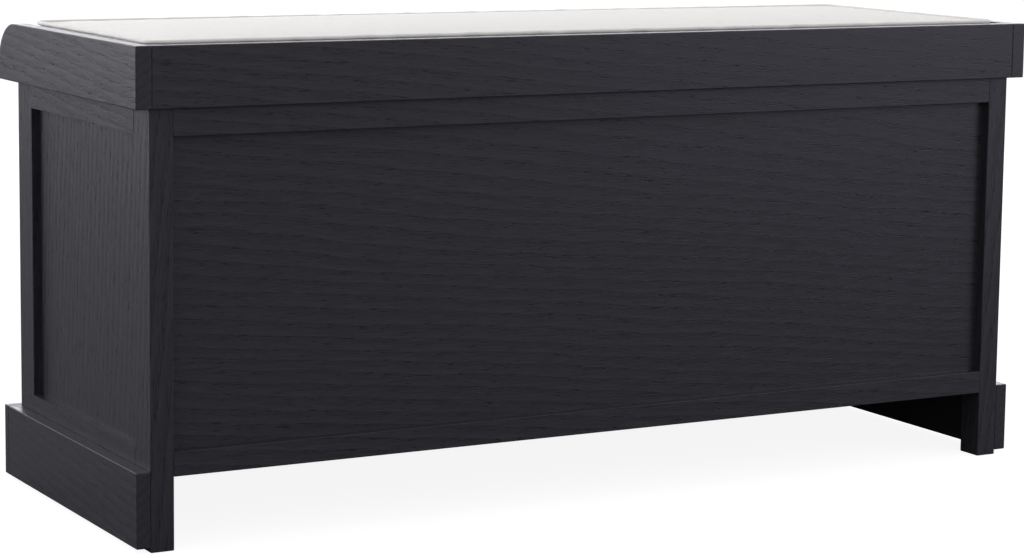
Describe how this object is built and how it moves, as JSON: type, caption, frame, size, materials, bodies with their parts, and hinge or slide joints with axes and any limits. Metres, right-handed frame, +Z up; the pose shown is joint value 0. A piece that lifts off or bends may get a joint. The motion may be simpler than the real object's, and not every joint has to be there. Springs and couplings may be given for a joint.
{
  "type": "storage bench",
  "caption": "Black wooden storage bench with framed ends and back, a plinth skirt, inset drawers, and a loose box cushion in a tray seat with rounded front corners.",
  "frame": {"origin": "on the floor, under the middle of the whole bench with its knobs", "axes": "+X to the right-hand end seen from the front, -Y out of the front, +Z up"},
  "size_m": [1.09, 0.408, 0.5123],
  "materials": {
    "black_wood": "black stained wood with open grain under a satin lacquer",
    "drawer_wood": "pale hardwood and plywood, clear sealed",
    "plain_wood": "unfinished hardwood",
    "cushion_fabric": "off-white plain woven cloth",
    "foam": "cream polyurethane foam",
    "screw_steel": "zinc plated steel",
    "knob_metal": "brushed nickel"
  },
  "bodies": {
    "bench": {"bottom_battens": "plain_wood", "bottom_board": "black_wood", "divider_left": "black_wood", "divider_right": "black_wood", "drawer_runners": "plain_wood", "end_bottom_rail_left": "black_wood", "end_bottom_rail_right": "black_wood", "end_panel_left": "black_wood", "end_panel_right": "black_wood", "end_top_rail_left": "black_wood", "end_top_rail_right": "black_wood", "frame_dowels": "plain_wood", "frame_screws": "screw_steel", "front_bottom_rail": "black_wood", "front_top_rail": "black_wood", "post_front_left": "black_wood", "post_front_right": "black_wood", "post_rear_left": "black_wood", "post_rear_right": "black_wood", "rear_bottom_rail": "black_wood", "rear_panel": "black_wood", "rear_top_rail": "black_wood", "runner_cleats": "plain_wood", "runner_screws": "screw_steel", "seat_board": "black_wood", "skirt_front": "black_wood", "skirt_left": "black_wood", "skirt_right": "black_wood", "small_dowels": "plain_wood", "tray_end_left": "black_wood", "tray_end_right": "black_wood", "tray_rear_rail": "black_wood"},
    "drawer_left": {"drawer_left_back": "drawer_wood", "drawer_left_bottom": "drawer_wood", "drawer_left_dowels": "plain_wood", "drawer_left_front": "black_wood", "drawer_left_knob": "knob_metal", "drawer_left_screws": "screw_steel", "drawer_left_side_left": "drawer_wood", "drawer_left_side_right": "drawer_wood"},
    "drawer_middle": {"drawer_middle_back": "drawer_wood", "drawer_middle_bottom": "drawer_wood", "drawer_middle_dowels": "plain_wood", "drawer_middle_front": "black_wood", "drawer_middle_knob": "knob_metal", "drawer_middle_screws": "screw_steel", "drawer_middle_side_left": "drawer_wood", "drawer_middle_side_right": "drawer_wood"},
    "drawer_right": {"drawer_right_back": "drawer_wood", "drawer_right_bottom": "drawer_wood", "drawer_right_dowels": "plain_wood", "drawer_right_front": "black_wood", "drawer_right_knob": "knob_metal", "drawer_right_screws": "screw_steel", "drawer_right_side_left": "drawer_wood", "drawer_right_side_right": "drawer_wood"},
    "cushion": {"cushion_cover": "cushion_fabric", "cushion_foam": "foam"}
  },
  "joints": [
    {"name": "drawer_left_slide", "type": "slide", "parent": "bench", "child": "drawer_left", "axis": [0, -1, 0], "range_m": [0, 0.24]},
    {"name": "drawer_middle_slide", "type": "slide", "parent": "bench", "child": "drawer_middle", "axis": [0, -1, 0], "range_m": [0, 0.24]},
    {"name": "drawer_right_slide", "type": "slide", "parent": "bench", "child": "drawer_right", "axis": [0, -1, 0], "range_m": [0, 0.24]},
    {"name": "cushion_lift", "type": "slide", "parent": "bench", "child": "cushion", "axis": [0, 0, 1], "range_m": [0, 0.15]}
  ]
}
